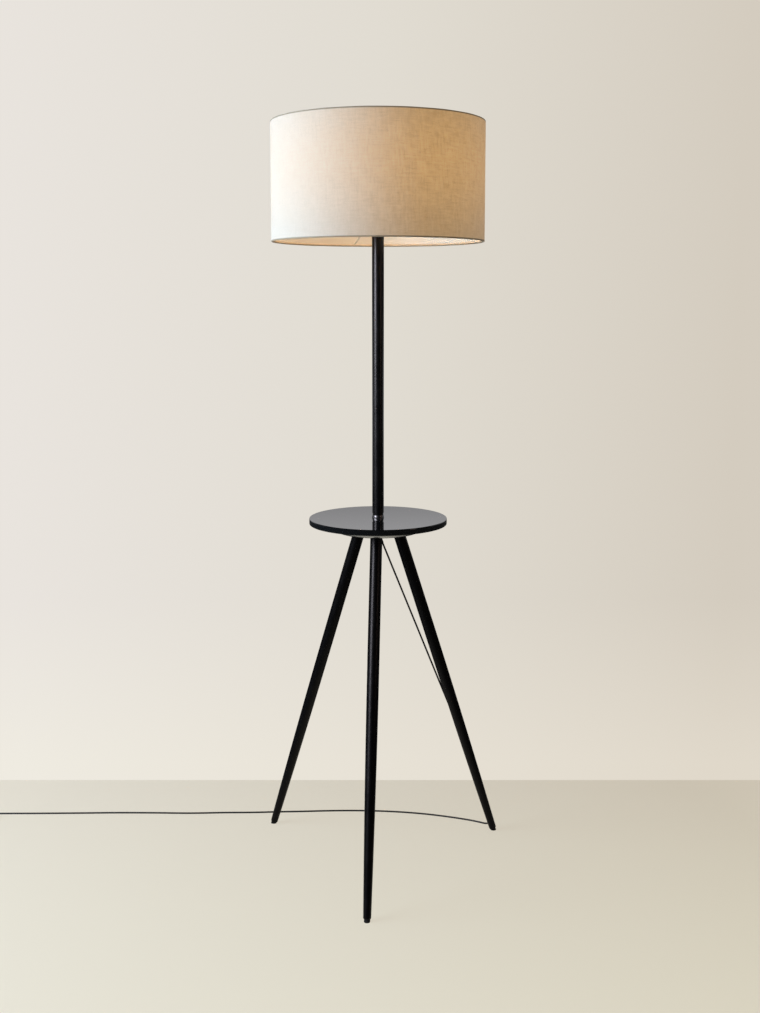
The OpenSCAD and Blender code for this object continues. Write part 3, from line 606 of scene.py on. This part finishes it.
def add_lead(materials):
    """The lead as one smooth cord, from the strain relief to the plug."""
    points = lead_points()
    curve = bpy.data.curves.new("mains_lead", "CURVE")
    curve.dimensions = "3D"
    curve.bevel_depth = LEAD_D / 2
    curve.bevel_resolution = 4
    curve.use_fill_caps = True
    line = curve.splines.new("POLY")
    line.points.add(len(points) - 1)
    for point, place in zip(line.points, points):
        point.co = (*place, 1)
    line.use_smooth = True
    lead = new_piece("mains_lead", curve, materials["lead_sheath"])
    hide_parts("lead_run", "lead_coil")
    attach(lead, "lamp")
    carried = [*add_strain_relief(materials), *add_plug_ribs(materials, points[-1])]
    carried += [nodes[name] for name in ("coil_tie", "plug_body", "pin_sleeves", "plug_pins")]


# ---- Lampholder

SHELL_WALL = 0.0022
SHELL_TOP_EDGE = 0.0004
SHELL_BOTTOM_EDGE = 0.0003
SHELL_STEP = 0.00025                # between the points of the thread's outline
THREAD_PITCH = 0.0025
THREAD_DEPTH = 0.0006
RING_CLEARANCE = 0.0001             # from the thread's crest to a clamping ring
RING_EDGE = 0.0012
RING_RIBS = 36
RING_RIB_DEPTH = 0.0007


def add_lampholder_shell(materials):
    """The lampholder's sleeve with its outside thread; gives the sleeve's outer radius."""
    low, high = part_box("lampholder_shell")
    outer = (high.x - low.x) / 2
    inner = outer - SHELL_WALL
    tall = high.z - low.z
    steps = round(tall / SHELL_STEP)
    outside = [(outer - SHELL_TOP_EDGE, high.z), (outer, high.z - SHELL_TOP_EDGE)]
    outside += [(outer, high.z - tall * i / steps) for i in range(2, steps)]
    outside.append((outer - SHELL_BOTTOM_EDGE, low.z))

    def thread(r, z, turn):
        if r < outer:
            return r, z
        return r - THREAD_DEPTH * wave(z / THREAD_PITCH - turn / (2 * math.pi)), z

    outline = [*outside, (inner, low.z), (inner, high.z)]
    shell = lathe("threaded_shell", outline, materials["black_plastic"], 96, thread)
    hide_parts("lampholder_shell")
    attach(shell, "lamp")
    return outer


def add_clamp_ring(node, name, inner, materials):
    """A clamping ring with rounded edges and a ribbed grip."""
    low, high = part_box(node)
    outer = (high.x - low.x) / 2
    middle = outer - RING_EDGE
    upper_edge = arc((middle, high.z - RING_EDGE), RING_EDGE, 90, 0, 4)
    lower_edge = arc((middle, low.z + RING_EDGE), RING_EDGE, 0, -90, 4)
    outline = [(inner, high.z), *upper_edge, *lower_edge, (inner, low.z)]

    def ribs(r, z, turn):
        reach = max(0.0, (r - middle) / RING_EDGE)
        return r - RING_RIB_DEPTH * reach * abs(math.sin(RING_RIBS * turn / 2)), z

    ring = lathe(name, outline, materials["black_plastic"], RING_RIBS * 8, ribs)
    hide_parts(node)
    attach(ring, "lamp")


def add_lampholder(materials):
    inner = add_lampholder_shell(materials) + RING_CLEARANCE
    add_clamp_ring("clamp_ring_lower", "ribbed_ring_lower", inner, materials)
    add_clamp_ring("clamp_ring_upper", "ribbed_ring_upper", inner, materials)


# ---- Linen cover

CLOTH = 0.0008
FOLD = 0.0011
TUCK = (0.0012, 0.0003)             # outwards and past the wire, to the turned-in cloth's end
OVERLAP = 0.011
OVERLAP_STEP = 0.0005
OVERLAP_EASE = 0.004                # over which the step runs out
UNEVEN = 0.00009
EDGE_WAVE = 0.00018
COVER_ROWS = 34
COVER_SEGMENTS = 320


def offset(path, distance):
    """A path of (radius, height) points moved to its left by a distance."""
    moved = []
    for i, point in enumerate(path):
        before, after = Vector(path[max(i - 1, 0)]), Vector(path[min(i + 1, len(path) - 1)])
        along = (after - before).normalized()
        moved.append((point[0] - along.y * distance, point[1] + along.x * distance))
    return moved


def ring_size(node):
    """A wire ring's radius and height, to the middle of its wire."""
    low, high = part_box(node)
    return (high.x - low.x) / 2 - (high.z - low.z) / 2, (low.z + high.z) / 2


def edge_path(face_r, edge_z, ring_r, wire_z):
    """The cloth's outer line from the face over an edge, round the wire and back inside."""
    inwards = 1 if wire_z > edge_z else -1
    bead = abs(wire_z - edge_z)
    out, past = TUCK
    path = arc((face_r - FOLD, edge_z + inwards * FOLD), FOLD, 0, -90 * inwards, 4)
    path += arc((ring_r, wire_z), bead, -90 * inwards, -270 * inwards, 10)
    path.append((ring_r + out, wire_z + inwards * (bead + past)))
    return path


def add_linen_cover(materials):
    """Cloth glued to the liner and rolled over the wire rings, with its overlap at the seam."""
    low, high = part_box("shade_cover")
    ring_r, wire_z = ring_size("shade_bottom_ring")
    top_ring_r, top_wire_z = ring_size("shade_top_ring")
    radius = (high.x - low.x) / 2
    top_radius = radius - (ring_r - top_ring_r)
    tall = high.z - low.z
    bottom = edge_path(radius, low.z, ring_r, wire_z)
    top = edge_path(top_radius, high.z, top_ring_r, top_wire_z)
    face = []
    for i in range(1, COVER_ROWS):
        share = i / COVER_ROWS
        face_r = top_radius + (radius - top_radius) * share
        face.append((face_r, high.z - FOLD - (tall - 2 * FOLD) * share))
    outer = [*reversed(top), *face, *bottom]
    profile = [*outer, *reversed(offset(outer, -CLOTH))]

    def shift(r, z, turn):
        """The overlap's step, and a slight unevenness of the glued cloth, outwards only."""
        past = (turn - SEAM_TURN) % (2 * math.pi) * radius
        step = 1 if past < OVERLAP else max(0, 1 - (past - OVERLAP) / OVERLAP_EASE)
        uneven = math.sin(5 * turn + 1.3) * math.sin(21 * z + 2 * turn)
        uneven += math.sin(9 * turn + 40 * z)
        edge = EDGE_WAVE * math.sin(7 * turn + 0.6) * math.sin(11 * turn)
        return r + OVERLAP_STEP * step + UNEVEN * (uneven + 2), z + edge

    cover = lathe("linen_cover", profile, materials["linen"], COVER_SEGMENTS, shift)
    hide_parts("shade_cover")
    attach(cover, "lamp")


# ---- Floor and wall

FLOOR_REACH = 9.0
WALL_AWAY = 0.442
WALL_HIGH = 6.0
FLOOR_SHARE = 0.65                  # of the plain colour near the lamp; the rest shows the shadow
FLOOR_GAIN = 1.36                   # of that plain colour near the lamp
FADE = (0.9, 1.6)                   # from the pole to where the floor shows no shadow
LIT_TINT = (0.75, 0.675, 0.6)       # undoes the window light's cool tint on the floor
ACROSS = (-0.95, 0.9)               # the view's left and right side at the wall


def stage_material(name, camera_colour, mirror_colour, share=1.0, gain=1.0):
    """The camera and reflections see a mix of a plain colour and the lit surface.

    share is how much of the plain colour shows near the lamp, times the gain; the rest keeps the
    object's shadow. Further off, where no shadow falls, the plain colour shows alone.
    """
    s = Shader(name, Roughness=0.9)
    path = s.tree.nodes.new("ShaderNodeLightPath").outputs
    direct = s.math("MAXIMUM", path["Is Camera Ray"], path["Is Glossy Ray"])
    direct = s.math("MAXIMUM", direct, path["Is Transmission Ray"])
    colour = camera_colour(s)
    away = s.distance()
    plain_colour = s.mix(path["Is Glossy Ray"], colour, mirror_colour(s))
    strength = s.spread(away, gain, 1.0, *FADE)
    plain = s.add("Emission", {"Color": plain_colour, "Strength": strength})
    s.finish(Base_Color=s.tinted(colour, LIT_TINT), Specular_IOR_Level=0.0)
    factor = s.math("MULTIPLY", direct, s.spread(away, share, 1.0, *FADE))
    mixed = s.add("MixShader", {0: factor, 1: s.principled.outputs[0], 2: plain})
    back = s.tree.nodes.new("ShaderNodeNewGeometry").outputs["Backfacing"]
    one_sided = s.add("MixShader", {0: back, 1: mixed, 2: s.add("BsdfTransparent", {})})
    s.feed(s.tree.nodes["Material Output"].inputs["Surface"], one_sided)
    return s.material


def linear(*srgb):
    """A display colour from 0 to 255, as the linear colour that a shader takes."""
    return tuple(((c / 255 + 0.055) / 1.055) ** 2.4 for c in srgb)


def wall_colour(s):
    """Painted light: pale and neutral on the left, where the window falls, warmer on the right,
    lighter just above the floor.
    """
    x, _, z = s.split()
    left, right = ACROSS
    upper = s.blend(x, left, 0.0, linear(233, 228, 222), linear(225, 220, 210))
    upper = s.blend(x, 0.0, right, upper, linear(212, 204, 191))
    lower = s.blend(x, left, right, linear(239, 235, 225), linear(224, 216, 202))
    return s.blend(z, 0.05, 0.5, lower, upper)


def floor_colour(s):
    """Painted light: lighter towards the viewer, and to the left where the window falls."""
    x, y, _ = s.split()
    far = s.blend(x, *ACROSS, linear(219, 213, 201), linear(206, 197, 180))
    near = s.blend(x, -0.8, 0.75, linear(228, 223, 210), linear(219, 212, 193))
    return s.blend(y, 0.4, -0.6, far, near)


def wall_mirror_colour(s):
    """What the black gloss shows of the wall: pale at the table's height, dim above and below."""
    _, _, z = s.split()
    rising = s.spread(z, 0.0, 1.0, 0.7, 0.94)
    falling = s.spread(z, 1.0, 0.0, 0.98, 1.25)
    return s.mix(s.math("MULTIPLY", rising, falling), (0.04, 0.04, 0.04), (0.92, 0.91, 0.93))


def floor_mirror_colour(s):
    """What the black gloss shows of the floor: pale under the table, dim further off."""
    return s.blend(s.distance(), 0.15, 0.7, linear(213, 205, 190), (0.06, 0.06, 0.058))


def add_plane(name, corners, material):
    mesh = bpy.data.meshes.new(name)
    mesh.from_pydata(corners, [], [(0, 1, 2, 3)])
    plane = new_piece(name, mesh, material)
    plane.rotation_euler = (0, 0, VIEW_TURN)
    return plane


def add_studio():
    """The floor and the wall behind the lamp, which shades nothing from the lights."""
    wide = FLOOR_REACH
    add_plane(
        "floor",
        [(-wide, -wide, 0), (wide, -wide, 0), (wide, wide, 0), (-wide, wide, 0)],
        stage_material("floor", floor_colour, floor_mirror_colour, FLOOR_SHARE, FLOOR_GAIN),
    )
    foot = [(-wide, WALL_AWAY, 0), (wide, WALL_AWAY, 0)]
    head = [(wide, WALL_AWAY, WALL_HIGH), (-wide, WALL_AWAY, WALL_HIGH)]
    wall = add_plane("wall", foot + head, stage_material("wall", wall_colour, wall_mirror_colour))
    wall.visible_shadow = False


# ---- Lights

LIGHT_AIM = (0, 0, 1.2)
BULB_LIGHT_COLOUR = (1.0, 0.64, 0.36)
WORLD_COLOUR = (1.0, 0.95, 0.88, 1)
WORLD_LEVEL = 0.13
WORLD_SEEN = {"Is Camera Ray": 0.75, "Is Glossy Ray": 0.025, "Is Transmission Ray": 0.75}


def add_area_light(name, place, size, level, colour, in_mirrors=True, mirrors_only=False):
    """A softbox; level 1 lights a surface that faces it so that its colour renders as written."""
    data = bpy.data.lights.new(name, "AREA")
    data.shape = "RECTANGLE"
    data.size, data.size_y = size
    data.color = colour
    light = new_object(name, data)
    light.location = seen(*place)
    away = seen(*LIGHT_AIM) - light.location
    data.energy = level * (math.pi * away.length) ** 2
    light.rotation_euler = away.to_track_quat("-Z", "Y").to_euler()
    light.visible_glossy = in_mirrors
    light.visible_diffuse = not mirrors_only
    return light


def light_only(light, pieces):
    """Lets a light reach the given pieces alone."""
    reached = bpy.data.collections.new(light.name + "_reaches")
    for piece in pieces:
        reached.objects.link(piece)
    light.light_linking.receiver_collection = reached


def add_lights():
    """Daylight from the left, highlights on black gloss, and faint light from the right."""
    add_area_light(
        "window", (-2.6, -0.65, 1.5), (1.7, 3.0), 1.48, (0.61, 0.865, 1.1), in_mirrors=False
    )
    strip = add_area_light(
        "strip", (-2.0, -1.4, 2.0), (1.2, 2.0), 2.6, (0.95, 0.94, 1.05), mirrors_only=True
    )
    # The strip leaves the table top alone, and the edge light reaches only the shade's cover
    pieces = [p for p in bpy.context.scene.objects if p.type in ("MESH", "CURVE")]
    light_only(strip, [p for p in pieces if p != nodes["table_top"]])
    edge = add_area_light(
        "edge", (1.9, 1.1, 1.3), (0.8, 1.6), 0.16, (0.4, 0.66, 1.0), in_mirrors=False
    )
    light_only(edge, [bpy.data.objects["linen_cover"]])
    add_area_light(
        "glint", (2.1, -1.3, 1.8), (0.5, 1.6), 0.09, (1.0, 0.72, 0.62), mirrors_only=True
    )
    add_area_light(
        "fill", (2.4, -2.4, 0.6), (2.4, 1.2), 0.07, (0.9, 1.0, 1.0), in_mirrors=False
    )


def add_world():
    """Dim light from all round; the camera, gloss and glass each see a level of their own."""
    world = bpy.data.worlds.new("world")
    world.use_nodes = True
    tree = world.node_tree
    rays = tree.nodes.new("ShaderNodeLightPath").outputs
    strength = tree.nodes.new("ShaderNodeValue").outputs[0]
    strength.default_value = WORLD_LEVEL
    for ray, level in WORLD_SEEN.items():
        mix = tree.nodes.new("ShaderNodeMix")
        tree.links.new(rays[ray], mix.inputs[0])
        tree.links.new(strength, mix.inputs[2])
        mix.inputs[3].default_value = level
        strength = mix.outputs[0]
    background = tree.nodes["Background"]
    background.inputs["Color"].default_value = WORLD_COLOUR
    tree.links.new(strength, background.inputs["Strength"])
    bpy.context.scene.world = world


def add_bulb_light():
    """The bulb's own light, from inside the glass, which lets it through."""
    low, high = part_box("bulb_glass")
    data = bpy.data.lights.new("bulb_light", "POINT")
    data.energy = 1.0
    data.color = BULB_LIGHT_COLOUR
    data.shadow_soft_size = 0.02
    light = new_object("bulb_light", data)
    light.location = (0, 0, high.z - (high.x - low.x) / 2)
    nodes["bulb_glass"].visible_shadow = False


# ---- Scene

bpy.context.scene.view_settings.view_transform = "Standard"
add_camera()
materials = make_materials()
for row in frame["record"]["subparts"]:
    for slot in nodes[row["node"]].material_slots:
        slot.material = materials[row["material_slot"]]
add_lead(materials)
add_lampholder(materials)
add_linen_cover(materials)
add_studio()
add_lights()
add_world()
add_bulb_light()
